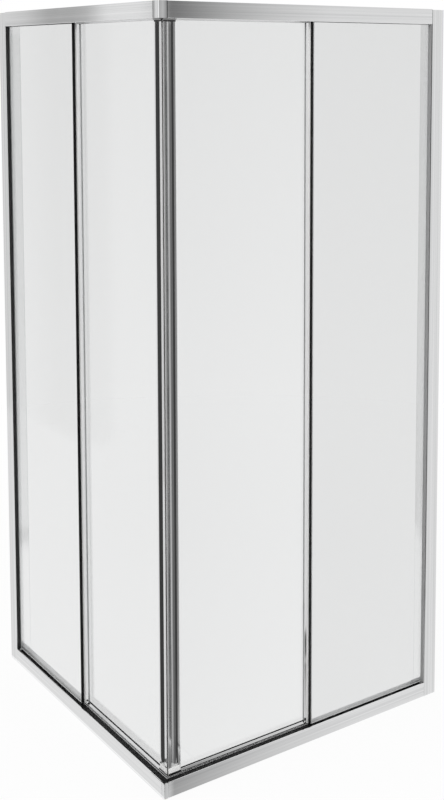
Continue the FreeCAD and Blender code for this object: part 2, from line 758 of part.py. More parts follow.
def carrier(u):
    body = new_body("carrier")
    near = f"({door_front} + bracket_setback)"
    far = f"({door_back} - bracket_setback)"
    foot = rectangle((near, plate_low), (far, member_low))
    low = f"({lower_axle} - fork_margin)"
    fork_start = f"({door_middle} - {fork_out})"
    fork_end = f"({door_middle} + {fork_out})"
    front_cheek = rectangle((fork_start, low), (f"({door_middle} - {fork_in})", plate_low))
    back_cheek = rectangle((f"({door_middle} + {fork_in})", low), (fork_end, plate_low))
    cheeks = [front_cheek, back_cheek]
    pad(body, "YZ_Plane", f"({u} - bracket_length / 2)", f"({u} + bracket_length / 2)", foot)
    pad(body, "YZ_Plane", f"({u} - fork_length / 2)", f"({u} + fork_length / 2)", *cheeks)
    pocket(body, "XZ_Plane", fork_start, fork_end, holes=[((u, lower_axle), axle_hole)])
    places = [f"({u} - bracket_screw_pitch / 2)", f"({u} + bracket_screw_pitch / 2)"]
    holes = [((place, door_middle), loose_hole) for place in places]
    pocket(body, "XY_Plane", plate_low, member_low, holes=holes)
    return body


def upper_axle_pin(u):
    start = f"({plate_front} - axle_head_length)"
    body = new_body("axle", u, start, upper_axle, TO_Y)
    plate_end = "(axle_head_length + plate)"
    journal = f"({wheel_near} - axle_play - {start})"
    cap = f"({wheel_far} + axle_play - {start})"
    end = f"({cap} + axle_head_length)"
    points = [("0", "0"), (axle_rim, "0"), (axle_rim, "axle_head_length")]
    points += [("axle_radius", "axle_head_length"), ("axle_radius", plate_end), (axle_rim, plate_end)]
    points += [(axle_rim, journal), ("axle_radius", journal), ("axle_radius", cap), (axle_rim, cap)]
    points += [(axle_rim, end), ("0", end)]
    turn(body, points)
    return body


def lower_axle_pin(u):
    start = f"({door_middle} - {fork_out} - axle_head_length)"
    body = new_body("axle", u, start, lower_axle, TO_Y)
    cap = f"(axle_head_length + 2 * {fork_out})"
    end = f"({cap} + axle_head_length)"
    points = [("0", "0"), (axle_rim, "0"), (axle_rim, "axle_head_length")]
    points += [("axle_radius", "axle_head_length"), ("axle_radius", cap), (axle_rim, cap)]
    points += [(axle_rim, end), ("0", end)]
    turn(body, points)
    return body


# The roller's groove runs on the bead of its rail.
def roller(label, u, middle, level):
    body = new_body(label, u, f"({middle} - roller_width / 2)", level, TO_Y)
    rim = "(roller_groove + roller_flange)"
    mouth_near = "((roller_width - groove_mouth) / 2)"
    mouth_far = "((roller_width + groove_mouth) / 2)"
    root_near = "((roller_width - groove_root) / 2)"
    root_far = "((roller_width + groove_root) / 2)"
    points = [(axle_hole, "0"), (rim, "0"), (rim, mouth_near), ("roller_groove", root_near)]
    points += [("roller_groove", root_far), (rim, mouth_far), (rim, "roller_width")]
    points += [(axle_hole, "roller_width")]
    turn(body, points)
    return body


def door_screws():
    screws = []
    for u, d in (closing_port, rear_port):
        screws.append(screw(u, d, f"({member_low} + stile_screw_length)", TO_LOW, "stile_screw_length"))
        screws.append(screw(u, d, f"({member_high} - stile_screw_length)", TO_HIGH, "stile_screw_length"))
    for u, d in bracket_screw_places():
        screws.append(screw(u, d, f"({plate_low} + bracket_screw_length)", TO_LOW, "bracket_screw_length"))
        screws.append(screw(u, d, f"({plate_high} - bracket_screw_length)", TO_HIGH, "bracket_screw_length"))
    return group("front_door_screws", screws)


def running_gear():
    hangers = group("front_hangers", [hanger(u) for u in roller_places])
    carriers = group("front_carriers", [carrier(u) for u in roller_places])
    pins = [upper_axle_pin(u) for u in roller_places] + [lower_axle_pin(u) for u in roller_places]
    axles = group("front_axles", pins)
    rollers = []
    for place, u in zip(("closing", "rear"), roller_places):
        rollers.append(roller(f"front_top_roller_{place}", u, wheel_middle, upper_axle))
        rollers.append(roller(f"front_lower_roller_{place}", u, door_middle, lower_axle))
    return [hangers, carriers, axles] + rollers


# The left side and its screws mirror the front side across the plane x = y.
def mirrored(item, label):
    mirror = doc.addObject("Part::Mirroring", label)
    mirror.Label = label
    mirror.Source = item
    mirror.Normal = FreeCAD.Vector(1, -1, 0)
    return mirror


front = [wall_profile(), side_frame(), top_rail(), bottom_rail(), lock_screws(), rail_screws()]
front += [fixed_glass(), fixed_gasket(), edge_strip(), infill_strips(), door_stops()]
front += [closing_stile(), stile_caps(), rear_stile(), top_member(), bottom_member()]
front += [door_glass(), door_gasket(), magnetic_strip(), rear_wiper(), door_screws()]
front += running_gear()
nodes += front
nodes += [mirrored(item, item.Label.replace("front_", "left_")) for item in front]
nodes += [top_connector(), bottom_connector()]
corner = spigot_screws()
corner += [mirrored(item, "left_screw") for item in corner]
nodes.append(group("corner_screws", corner))
doc.recompute()

for item in doc.Objects:
    if "Invalid" in item.State or "Error" in item.State:
        raise RuntimeError(f"{item.Label} did not build: {item.State}")
for feature in pockets:
    if feature.Shape.Volume >= feature.BaseFeature.Shape.Volume:
        raise RuntimeError(f"{feature.Label} of {feature.getParent().Label} cuts nothing")
for node in nodes:
    if node.Shape.isNull() or not node.Shape.isValid() or not node.Shape.Solids:
        raise RuntimeError(f"{node.Label} is not a valid solid")

os.makedirs("parts", exist_ok=True)
for node in nodes:
    node.Shape.exportStep(f"parts/{node.Label}.step")
print(f"{len(nodes)} nodes, {sum(len(node.Shape.Solids) for node in nodes)} solids")
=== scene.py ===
import bpy
import math
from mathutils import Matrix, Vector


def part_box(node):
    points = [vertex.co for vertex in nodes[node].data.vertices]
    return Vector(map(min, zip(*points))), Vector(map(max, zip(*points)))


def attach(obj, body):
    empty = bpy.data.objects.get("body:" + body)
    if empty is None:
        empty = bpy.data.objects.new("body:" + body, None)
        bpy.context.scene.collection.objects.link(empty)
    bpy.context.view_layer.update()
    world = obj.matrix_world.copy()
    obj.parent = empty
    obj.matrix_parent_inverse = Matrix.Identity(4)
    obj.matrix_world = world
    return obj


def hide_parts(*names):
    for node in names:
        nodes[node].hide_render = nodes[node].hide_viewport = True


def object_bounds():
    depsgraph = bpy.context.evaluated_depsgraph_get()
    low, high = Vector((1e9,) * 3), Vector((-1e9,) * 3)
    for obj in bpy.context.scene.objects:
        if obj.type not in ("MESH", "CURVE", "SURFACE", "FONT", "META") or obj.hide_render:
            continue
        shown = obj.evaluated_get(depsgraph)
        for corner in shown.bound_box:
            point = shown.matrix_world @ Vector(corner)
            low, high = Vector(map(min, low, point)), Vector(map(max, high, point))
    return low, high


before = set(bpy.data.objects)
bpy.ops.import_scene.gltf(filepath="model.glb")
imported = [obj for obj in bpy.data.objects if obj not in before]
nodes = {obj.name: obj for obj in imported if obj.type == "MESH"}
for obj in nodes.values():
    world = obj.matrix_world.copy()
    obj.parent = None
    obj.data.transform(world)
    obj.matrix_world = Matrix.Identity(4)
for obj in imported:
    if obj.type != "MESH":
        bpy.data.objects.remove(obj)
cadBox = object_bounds()
bpy.ops.object.select_all(action="DESELECT")
print("frame loaded:", len(nodes), "nodes")


# camera
cameraView = {
    "place": (-1.879, -2.868, 1.762),
    "pitchDown": 5.361,
    "yaw": -35.438,
    "focalPixels": 1237.9,
    "picture": (444, 800),
    "lensAxis": (262.7, 177.6),    # pixel where the lens axis meets the picture
    "sensor": 36.0,
}


def makeCamera(view):
    width, height = view["picture"]
    longSide = max(width, height)
    bpy.ops.object.camera_add(location=view["place"])
    camera = bpy.context.object
    camera.name = "photoCamera"
    camera.rotation_euler = (math.radians(90 - view["pitchDown"]), 0, math.radians(view["yaw"]))
    camera.data.sensor_width = view["sensor"]
    camera.data.lens = view["focalPixels"] / longSide * view["sensor"]
    camera.data.shift_x = (width / 2 - view["lensAxis"][0]) / longSide
    camera.data.shift_y = (view["lensAxis"][1] - height / 2) / longSide
    bpy.context.scene.camera = camera


makeCamera(cameraView)
print("camera placed")


# node helpers
def newMaterial(name):
    material = bpy.data.materials.new(name)
    material.use_nodes = True
    tree = material.node_tree
    shader = tree.nodes["Principled BSDF"]
    return material, tree, shader


def addNode(tree, kind, place, **values):
    node = tree.nodes.new(kind)
    node.location = place
    for key, value in values.items():
        setattr(node, key, value)
    return node


def newGroup(name, inputs, outputs):
    group = bpy.data.node_groups.new(name, "ShaderNodeTree")
    for socketName, socketType, default in inputs:
        socket = group.interface.new_socket(name=socketName, in_out="INPUT", socket_type=socketType)
        socket.default_value = default
    for socketName, socketType in outputs:
        group.interface.new_socket(name=socketName, in_out="OUTPUT", socket_type=socketType)
    start = addNode(group, "NodeGroupInput", (-800, 0))
    end = addNode(group, "NodeGroupOutput", (600, 0))
    return group, start, end


# both sides are measured at once: inward is the lesser of X and Y, and along is the greater
sideMeasure = {"inward": "MINIMUM", "along": "MAXIMUM"}


# 1 between two places: up the object, inward from either side, or along either side from the corner
def bandMask(tree, place, way, low, high):
    link = tree.links.new
    split = addNode(tree, "ShaderNodeSeparateXYZ", (-1050, 450))
    link(place.outputs["Object"], split.inputs["Vector"])
    measure = split.outputs["Z"]
    if way in sideMeasure:
        sided = addNode(tree, "ShaderNodeMath", (-850, 450), operation=sideMeasure[way])
        link(split.outputs["X"], sided.inputs[0])
        link(split.outputs["Y"], sided.inputs[1])
        measure = sided.outputs["Value"]
    above = addNode(tree, "ShaderNodeMath", (-650, 550), operation="GREATER_THAN")
    below = addNode(tree, "ShaderNodeMath", (-650, 400), operation="LESS_THAN")
    inside = addNode(tree, "ShaderNodeMath", (-450, 450), operation="MULTIPLY")
    above.inputs[1].default_value = low
    below.inputs[1].default_value = high
    link(measure, above.inputs[0])
    link(measure, below.inputs[0])
    link(above.outputs["Value"], inside.inputs[0])
    link(below.outputs["Value"], inside.inputs[1])
    return inside.outputs["Value"]


# over is a value of its own or comes from another node
def layOver(tree, mask, place, under, over, kind):
    node = addNode(tree, "ShaderNodeMix", place, data_type=kind)
    tree.links.new(mask, node.inputs["Factor"])
    tree.links.new(under, node.inputs["A"])
    if isinstance(over, bpy.types.NodeSocket):
        tree.links.new(over, node.inputs["B"])
    else:
        node.inputs["B"].default_value = over
    return node.outputs["Result"]


# 1 for any of these kinds of ray
def anyRay(tree, place, kinds):
    path = addNode(tree, "ShaderNodeLightPath", place)
    mask = path.outputs[kinds[0]]
    for step, kind in enumerate(kinds[1:], 1):
        either = addNode(tree, "ShaderNodeMath", (place[0] + 200 * step, place[1]), operation="MAXIMUM")
        tree.links.new(mask, either.inputs[0])
        tree.links.new(path.outputs[kind], either.inputs[1])
        mask = either.outputs["Value"]
    return mask


# shared effects
dieLines = {
    "fineScale": 1300,
    "fineDetail": 2,
    "wideScale": 190,
    "wideDetail": 1,
    "wideShare": 0.7,
}


# lines left along an extrusion by its die, wide ones and hair-fine ones
def makeDrawnLines():
    inputs = [("Vector", "NodeSocketVector", (0, 0, 0)), ("Stretch", "NodeSocketVector", (1, 1, 1)),
              ("Wide Share", "NodeSocketFloat", dieLines["wideShare"])]
    group, start, end = newGroup("drawnLines", inputs, [("Lines", "NodeSocketFloat")])
    link = group.links.new
    stretched = addNode(group, "ShaderNodeVectorMath", (-600, 0), operation="MULTIPLY")
    fine = addNode(group, "ShaderNodeTexNoise", (-400, 150))
    fine.inputs["Scale"].default_value = dieLines["fineScale"]
    fine.inputs["Detail"].default_value = dieLines["fineDetail"]
    wide = addNode(group, "ShaderNodeTexNoise", (-400, -150))
    wide.inputs["Scale"].default_value = dieLines["wideScale"]
    wide.inputs["Detail"].default_value = dieLines["wideDetail"]
    blend = addNode(group, "ShaderNodeMix", (0, 0))
    link(start.outputs["Vector"], stretched.inputs[0])
    link(start.outputs["Stretch"], stretched.inputs[1])
    link(stretched.outputs["Vector"], fine.inputs["Vector"])
    link(stretched.outputs["Vector"], wide.inputs["Vector"])
    link(start.outputs["Wide Share"], blend.inputs["Factor"])
    link(fine.outputs["Fac"], blend.inputs["A"])
    link(wide.outputs["Fac"], blend.inputs["B"])
    link(blend.outputs["Result"], end.inputs["Lines"])
    return group


handling = {
    "cloudScale": 9.0,
    "cloudDetail": 3,
    "grainScale": 900.0,
    "grainDetail": 2,
}


# soft clouding from handling, and fine grain
def makeClouding():
    inputs = [("Vector", "NodeSocketVector", (0, 0, 0)),
              ("Cloud Scale", "NodeSocketFloat", handling["cloudScale"]),
              ("Grain Scale", "NodeSocketFloat", handling["grainScale"])]
    outputs = [("Cloud", "NodeSocketFloat"), ("Grain", "NodeSocketFloat")]
    group, start, end = newGroup("clouding", inputs, outputs)
    link = group.links.new
    cloud = addNode(group, "ShaderNodeTexNoise", (-300, 150))
    cloud.inputs["Detail"].default_value = handling["cloudDetail"]
    grain = addNode(group, "ShaderNodeTexNoise", (-300, -150))
    grain.inputs["Detail"].default_value = handling["grainDetail"]
    for texture, scale, out in ((cloud, "Cloud Scale", "Cloud"), (grain, "Grain Scale", "Grain")):
        link(start.outputs["Vector"], texture.inputs["Vector"])
        link(start.outputs[scale], texture.inputs["Scale"])
        link(texture.outputs["Fac"], end.inputs[out])
    return group


drawnLines = makeDrawnLines()
clouding = makeClouding()


def useGroup(tree, group, place, **values):
    node = addNode(tree, "ShaderNodeGroup", place, node_tree=group)
    for key, value in values.items():
        node.inputs[key].default_value = value
    return node


def useClouding(tree, look):
    scales = {"Cloud Scale": look["cloudScale"], "Grain Scale": look["grainScale"]}
    return useGroup(tree, clouding, (-850, 0), **scales)


noiseRange = (0.3, 0.7)    # where most of a noise texture lies
wholeRange = (0, 1)


def mapValue(tree, source, place, results, values=noiseRange):
    node = addNode(tree, "ShaderNodeMapRange", place)
    node.inputs["From Min"].default_value, node.inputs["From Max"].default_value = values
    node.inputs["To Min"].default_value, node.inputs["To Max"].default_value = results
    tree.links.new(source, node.inputs["Value"])
    return node.outputs["Result"]


def mixColours(tree, source, place, first, second):
    node = addNode(tree, "ShaderNodeMix", place, data_type="RGBA")
    node.inputs["A"].default_value = (*first, 1)
    node.inputs["B"].default_value = (*second, 1)
    tree.links.new(source, node.inputs["Factor"])
    return node.outputs["Result"]


def bumpFrom(tree, source, place, strength, distance):
    node = addNode(tree, "ShaderNodeBump", place)
    node.inputs["Strength"].default_value = strength
    node.inputs["Distance"].default_value = distance
    tree.links.new(source, node.inputs["Height"])
    return node.outputs["Normal"]


# finishes
silver = {
    "dark": (0.81, 0.815, 0.82),
    "light": (0.985, 0.988, 0.99),
    "rough": (0.06, 0.10),
    "satinRough": (0.34, 0.46),    # top members of the doors
    "bump": 0.08,
    "depth": 0.0002,
}

# the drawn lines hardly change along the extrusion
lineSqueeze = 0.004
alongAxis = {
    "X": (lineSqueeze, 1, 1),
    "Y": (1, lineSqueeze, 1),
    "Z": (1, 1, lineSqueeze),
}

# the inside of a bottom rail's track is left matt, and a side frame is paler behind the pane
insides = {
    "rail": {"band": ("inward", -0.4205, -0.3935), "colour": (0.95, 0.95, 0.95, 1),
             "rough": 0.6, "metal": 0},
    "frame": {"band": ("inward", -0.4235, -0.38), "colour": (1, 1, 1, 1), "rough": 0.1},
}


# bright anodised aluminium with its drawn lines along one axis
def makeSilver(axis, kind="silver"):
    material, tree, shader = newMaterial(kind + "Aluminium" + axis)
    link = tree.links.new
    place = addNode(tree, "ShaderNodeTexCoord", (-1100, 0))
    lines = useGroup(tree, drawnLines, (-850, 150), Stretch=alongAxis[axis])
    clouds = useGroup(tree, clouding, (-850, -150))
    link(place.outputs["Object"], lines.inputs["Vector"])
    link(place.outputs["Object"], clouds.inputs["Vector"])
    lineShade = mapValue(tree, lines.outputs["Lines"], (-600, 250), wholeRange)
    colour = mixColours(tree, lineShade, (-350, 250), silver["dark"], silver["light"])
    roughRange = silver["satinRough"] if kind == "satin" else silver["rough"]
    rough = mapValue(tree, clouds.outputs["Cloud"], (-350, 0), roughRange)
    shader.inputs["Metallic"].default_value = 1
    if kind in insides:
        look = insides[kind]
        inside = bandMask(tree, place, *look["band"])
        colour = layOver(tree, inside, (-150, 350), colour, look["colour"], "RGBA")
        rough = layOver(tree, inside, (-150, 0), rough, look["rough"], "FLOAT")
        if "metal" in look:
            metal = mapValue(tree, inside, (-150, 150), (1, look["metal"]), wholeRange)
            link(metal, shader.inputs["Metallic"])
    link(colour, shader.inputs["Base Color"])
    link(rough, shader.inputs["Roughness"])
    link(bumpFrom(tree, lines.outputs["Lines"], (-350, -250), silver["bump"], silver["depth"]),
         shader.inputs["Normal"])
    return material


chrome = {
    "dark": (0.82, 0.825, 0.83),
    "light": (0.90, 0.905, 0.91),
    "rough": (0.012, 0.02),
    "cloudScale": 60.0,
    "grainScale": 700.0,
    "bump": 0.002,
    "depth": 0.0003,
    "ends": ("along", -0.4175, -0.40),    # painted shade of the joint gaps beside the rails
    "jointShadeColour": (0.10, 0.10, 0.10, 1),
}


# chrome on a cast corner piece, with painted shade at its ends beside the rails
def makeChrome():
    material, tree, shader = newMaterial("castChrome")
    link = tree.links.new
    place = addNode(tree, "ShaderNodeTexCoord", (-1100, 0))
    clouds = useClouding(tree, chrome)
    link(place.outputs["Object"], clouds.inputs["Vector"])
    colour = mixColours(tree, clouds.outputs["Cloud"], (-350, 250), chrome["dark"], chrome["light"])
    # the ends beside the rails are painted dark as shade of the joint gaps
    ends = bandMask(tree, place, *chrome["ends"])
    link(layOver(tree, ends, (-150, 350), colour, chrome["jointShadeColour"], "RGBA"), shader.inputs["Base Color"])
    link(mapValue(tree, clouds.outputs["Cloud"], (-350, 0), chrome["rough"]), shader.inputs["Roughness"])
    link(bumpFrom(tree, clouds.outputs["Grain"], (-350, -250), chrome["bump"], chrome["depth"]),
         shader.inputs["Normal"])
    shader.inputs["Metallic"].default_value = 1
    return material


steel = {
    "dark": (0.50, 0.50, 0.51),
    "light": (0.63, 0.63, 0.64),
    "rough": (0.22, 0.36),
    "cloudScale": 240.0,
    "grainScale": 2500.0,
}


def makeSteel():
    material, tree, shader = newMaterial("zincSteel")
    link = tree.links.new
    place = addNode(tree, "ShaderNodeTexCoord", (-1100, 0))
    clouds = useClouding(tree, steel)
    link(place.outputs["Object"], clouds.inputs["Vector"])
    link(mixColours(tree, clouds.outputs["Cloud"], (-350, 250), steel["dark"], steel["light"]),
         shader.inputs["Base Color"])
    link(mapValue(tree, clouds.outputs["Grain"], (-350, 0), steel["rough"]), shader.inputs["Roughness"])
    shader.inputs["Metallic"].default_value = 1
    return material


# pane tints are painted light, lighter at the foot and darker at the top; the front fixed pane is painted
# greyer as shade
glass = {
    "paintedLightTints": {"glass": ((0.865, 0.87, 0.87), (0.775, 0.78, 0.78)),
              "shadedGlass": ((0.795, 0.80, 0.80), (0.735, 0.74, 0.74))},
    "shadowTint": (0.80, 0.805, 0.805),
    "index": 1.52,
    "waveScale": 3.5,    # slow roller waves of toughened glass, per metre
    "waveBump": 0.02,
    "waveDepth": 0.002,
}


def makeGlass(name):
    foot, top = glass["paintedLightTints"][name]
    material, tree, shader = newMaterial(name)
    link = tree.links.new
    place = addNode(tree, "ShaderNodeTexCoord", (-1100, 0))
    wave = addNode(tree, "ShaderNodeTexNoise", (-850, 0))
    wave.inputs["Scale"].default_value = glass["waveScale"]
    wave.inputs["Detail"].default_value = 0
    link(place.outputs["Object"], wave.inputs["Vector"])
    link(bumpFrom(tree, wave.outputs["Fac"], (-350, -250), glass["waveBump"], glass["waveDepth"]),
         shader.inputs["Normal"])
    split = addNode(tree, "ShaderNodeSeparateXYZ", (-850, 300))
    link(place.outputs["Object"], split.inputs["Vector"])
    # painted light up the pane: lighter at the foot, darker at the top
    height = mapValue(tree, split.outputs["Z"], (-600, 300), wholeRange, (cadBox[0].z, cadBox[1].z))
    link(mixColours(tree, height, (-350, 300), foot, top), shader.inputs["Base Color"])
    shader.inputs["Metallic"].default_value = 0
    shader.inputs["Roughness"].default_value = 0
    shader.inputs["IOR"].default_value = glass["index"]
    shader.inputs["Transmission Weight"].default_value = 1
    # light for the floor and the frame passes straight through
    softRay = anyRay(tree, (0, 400), ("Is Shadow Ray", "Is Diffuse Ray"))
    clear = addNode(tree, "ShaderNodeBsdfTransparent", (200, 200))
    clear.inputs["Color"].default_value = (*glass["shadowTint"], 1)
    mix = addNode(tree, "ShaderNodeMixShader", (400, 200))
    link(softRay, mix.inputs[0])
    link(shader.outputs["BSDF"], mix.inputs[1])
    link(clear.outputs["BSDF"], mix.inputs[2])
    link(mix.outputs["Shader"], tree.nodes["Material Output"].inputs["Surface"])
    return material


plasticSkin = {
    "cloudScale": 25.0,
    "depth": 0.0002,
}

# a band is a second colour between two places: grey seals up the stiles and side frames and black ones
# along the members and rails, caps on top of the stiles painted dark as shade and white ones under them,
# and magnetic strips that are dark where they face each other, from the dark magnet and painted shade
plastics = {
    "paneSeal": {"dark": (0.005, 0.005, 0.0055), "light": (0.012, 0.012, 0.0125), "shine": 0.12,
                 "rough": (0.46, 0.62), "bump": 0.25, "grainScale": 1800.0,
                 "band": ("along", 0.3985, 0.44, (0.52, 0.525, 0.525), (0.60, 0.605, 0.605))},
    "greyRubber": {"dark": (0.42, 0.42, 0.425), "light": (0.50, 0.50, 0.505), "shine": 0.2,
                   "rough": (0.46, 0.62), "bump": 0.25, "grainScale": 1800.0},
    # one bead rubber in two copies: black on the left, and painted grey on the front as light falling on it
    "leftBeadPaintedLightRubber": {"dark": (0.010, 0.010, 0.0105), "light": (0.018, 0.018, 0.0185), "shine": 0.3,
                       "rough": (0.36, 0.48), "bump": 0.2, "grainScale": 1800.0},
    "frontBeadPaintedLightRubber": {"dark": (0.29, 0.29, 0.292), "light": (0.35, 0.35, 0.352), "shine": 0.4,
                        "rough": (0.36, 0.48), "bump": 0.2, "grainScale": 1800.0},
    "blackPlastic": {"dark": (0.004, 0.004, 0.0045), "light": (0.010, 0.010, 0.0105), "shine": 0.12,
                     "rough": (0.40, 0.52), "bump": 0.12, "grainScale": 1400.0},
    "doorSeal": {"dark": (0.005, 0.005, 0.0055), "light": (0.012, 0.012, 0.0125), "shine": 0.3,
                 "rough": (0.36, 0.50), "bump": 0.15, "grainScale": 1800.0,
                 "band": ("up", 0.047, 1.856, (0.56, 0.565, 0.565), (0.62, 0.625, 0.625))},
    "whitePlastic": {"dark": (0.88, 0.88, 0.875), "light": (0.94, 0.94, 0.935), "shine": 0.5,
                     "rough": (0.32, 0.44), "bump": 0.08, "grainScale": 1500.0},
    # the faces where the strips meet are dark: the dark magnet, with painted shade of the gap between them
    "stripPlastic": {"dark": (0.72, 0.72, 0.715), "light": (0.80, 0.80, 0.795), "shine": 0.5,
                     "rough": (0.30, 0.42), "bump": 0.08, "grainScale": 1500.0,
                     "band": ("inward", -0.4165, -0.30, (0.06, 0.06, 0.061), (0.08, 0.08, 0.081))},
    # the caps on top of the stiles are painted dark as shade; the white ones under them keep the cap's
    # colour
    "capPlastic": {"dark": (0.88, 0.88, 0.875), "light": (0.94, 0.94, 0.935), "shine": 0.5,
                   "rough": (0.32, 0.44), "bump": 0.08, "grainScale": 1500.0,
                   "band": ("up", 1.0, 2.0, (0.05, 0.05, 0.05), (0.07, 0.07, 0.07))},
    "rollerPlastic": {"dark": (0.62, 0.61, 0.58), "light": (0.70, 0.69, 0.66), "shine": 0.5,
                      "rough": (0.30, 0.42), "bump": 0.08, "grainScale": 2200.0},
}


def makePlastic(name):
    look = {**plasticSkin, **plastics[name]}
    material, tree, shader = newMaterial(name)
    link = tree.links.new
    place = addNode(tree, "ShaderNodeTexCoord", (-1100, 0))
    clouds = useClouding(tree, look)
    link(place.outputs["Object"], clouds.inputs["Vector"])
    colour = mixColours(tree, clouds.outputs["Cloud"], (-350, 250), look["dark"], look["light"])
    if "band" in look:
        way, low, high, dark, light = look["band"]
        band = bandMask(tree, place, way, low, high)
        second = mixColours(tree, clouds.outputs["Cloud"], (-350, 600), dark, light)
        colour = layOver(tree, band, (-150, 400), colour, second, "RGBA")
    link(colour, shader.inputs["Base Color"])
    link(mapValue(tree, clouds.outputs["Grain"], (-350, 0), look["rough"]), shader.inputs["Roughness"])
    link(bumpFrom(tree, clouds.outputs["Grain"], (-350, -250), look["bump"], look["depth"]),
         shader.inputs["Normal"])
    shader.inputs["Specular IOR Level"].default_value = look["shine"]
    return material


finishes = {"silver" + axis: makeSilver(axis) for axis in alongAxis}
for kind, axis in (("rail", "X"), ("rail", "Y"), ("frame", "Z"), ("satin", "X"), ("satin", "Y")):
    finishes[kind + axis] = makeSilver(axis, kind)
finishes["chrome"] = makeChrome()
finishes["steel"] = makeSteel()
for name in glass["paintedLightTints"]:
    finishes[name] = makeGlass(name)
for name in plastics:
    finishes[name] = makePlastic(name)

# finish of each node of a side: rails run along X on the front side and along Y on the left side
sideFinish = {
    "wall_profile": "silverZ", "side_frame": "frameZ", "closing_stile": "silverZ", "rear_stile": "silverZ",
    "top_rail": "silverAlong", "bottom_rail": "railAlong",
    "top_member": "satinAlong", "bottom_member": "silverAlong",
    "fixed_glass": "glass", "door_glass": "glass",
    "fixed_gasket": "paneSeal", "door_gasket": "doorSeal", "door_stops": "greyRubber",
    "edge_strip": "blackPlastic", "infill_strips": "blackPlastic",
    "magnetic_strip": "stripPlastic", "stile_caps": "capPlastic", "rear_wiper": "whitePlastic",
    "lock_screws": "steel", "rail_screws": "steel", "door_screws": "steel", "axles": "steel",
    "hangers": "steel", "carriers": "steel",
    "top_roller_closing": "rollerPlastic", "lower_roller_closing": "rollerPlastic",
    "top_roller_rear": "rollerPlastic", "lower_roller_rear": "rollerPlastic",
}
cornerFinish = {
    "top_corner_connector": "chrome", "bottom_corner_connector": "chrome", "corner_screws": "steel",
}


def dress(nodeName, finish):
    mesh = nodes[nodeName].data
    mesh.materials.clear()
    mesh.materials.append(finishes[finish])


for side, axis in (("front", "X"), ("left", "Y")):
    for piece, finish in sideFinish.items():
        dress(side + "_" + piece, finish.replace("Along", axis))
for piece, finish in cornerFinish.items():
    dress(piece, finish)
# the front fixed pane gets the greyer glass, which is painted shade
dress("front_fixed_glass", "shadedGlass")
print("finishes set:", len(finishes))


# locking screws of the side frames, with domed heads and cross recesses
lockScrew = {
    "sides": 32,
    "headRadius": 0.0032,
    "headHeight": 0.0022,
    "crown": 0.0010,
    "crownSteps": 5,
    "shankRadius": 0.0016,
    "shankLength": 0.0105,
    "tipLength": 0.0015,
    "tipShare": 0.3,
    "crossLength": 0.0038,
    "crossWidth": 0.0009,
    "crossDepth": 0.0013,
    "smoothAngle": 35,
}
facing = 0.9    # least share of a normal for a face to count as facing that way


def pickFaces(piece, axis, sign, least=facing):
    bpy.ops.object.mode_set(mode="EDIT")
    bpy.ops.mesh.select_mode(type="FACE")
    bpy.ops.mesh.select_all(action="DESELECT")
    bpy.ops.object.mode_set(mode="OBJECT")
    for face in piece.data.polygons:
        face.select = sign * face.normal[axis] > least
    bpy.ops.object.mode_set(mode="EDIT")


def modelLockScrew(screw):
    bpy.ops.object.select_all(action="DESELECT")
    bpy.ops.mesh.primitive_cylinder_add(vertices=screw["sides"], radius=screw["headRadius"],
                                        depth=screw["headHeight"], location=(0, 0, screw["headHeight"] / 2))
    head = bpy.context.object
    bpy.ops.object.transform_apply(location=True)
    pickFaces(head, 2, 1)
    bpy.ops.mesh.bevel(offset=screw["crown"], segments=screw["crownSteps"], affect="EDGES")
    bpy.ops.object.mode_set(mode="OBJECT")
    pickFaces(head, 2, -1)
    bpy.ops.mesh.inset(thickness=screw["headRadius"] - screw["shankRadius"])
    bpy.ops.mesh.extrude_region_move(TRANSFORM_OT_translate={"value": (0, 0, -screw["shankLength"])})
    bpy.ops.mesh.extrude_region_move(TRANSFORM_OT_translate={"value": (0, 0, -screw["tipLength"])})
    share = screw["tipShare"]
    bpy.ops.transform.resize(value=(share, share, 1))
    bpy.ops.object.mode_set(mode="OBJECT")
    cutCross(head, screw)
    bpy.ops.object.shade_smooth_by_angle(angle=math.radians(screw["smoothAngle"]))
    return head


def cutCross(head, screw):
    for size in ((screw["crossLength"], screw["crossWidth"]), (screw["crossWidth"], screw["crossLength"])):
        bpy.ops.mesh.primitive_cube_add(size=1, location=(0, 0, screw["headHeight"]))
        cutter = bpy.context.object
        cutter.scale = (*size, 2 * screw["crossDepth"])
        bpy.ops.object.transform_apply(location=True, scale=True)
        cut = head.modifiers.new("cross", "BOOLEAN")
        cut.object = cutter
        cut.solver = "EXACT"
        bpy.context.view_layer.objects.active = head
        bpy.ops.object.modifier_apply(modifier=cut.name)
        bpy.data.objects.remove(cutter)
    bpy.ops.object.select_all(action="DESELECT")
    head.select_set(True)


def placeLockScrews(master, side):
    low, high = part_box(side + "_lock_screws")
    reach = lockScrew["headRadius"]
    heights = (low.z + reach, (low.z + high.z) / 2, high.z - reach)
    seatX, seatY = (low.x + high.x) / 2, high.y - lockScrew["headHeight"]
    turn = (math.radians(-90), 0, 0)    # head towards +Y
    if side == "left":
        seatX, seatY = high.x - lockScrew["headHeight"], (low.y + high.y) / 2
        turn = (0, math.radians(90), 0)    # head towards +X
    copies = []
    for height in heights:
        bpy.ops.object.select_all(action="DESELECT")
        master.select_set(True)
        bpy.context.view_layer.objects.active = master
        bpy.ops.object.duplicate()
        copy = bpy.context.object
        copy.rotation_euler = turn
        copy.location = (seatX, seatY, height)
        copies.append(copy)
    for copy in copies:
        copy.select_set(True)
    bpy.ops.object.join()
    screws = bpy.context.object
    screws.name = side + "LockScrews"
    bpy.ops.object.transform_apply(location=True, rotation=True, scale=True)
    screws.data.materials.clear()
    screws.data.materials.append(finishes["steel"])
    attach(screws, "frame")
    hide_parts(side + "_lock_screws")


lockMaster = modelLockScrew(lockScrew)
for side in ("front", "left"):
    placeLockScrews(lockMaster, side)
bpy.data.objects.remove(lockMaster)
print("locking screws modelled")


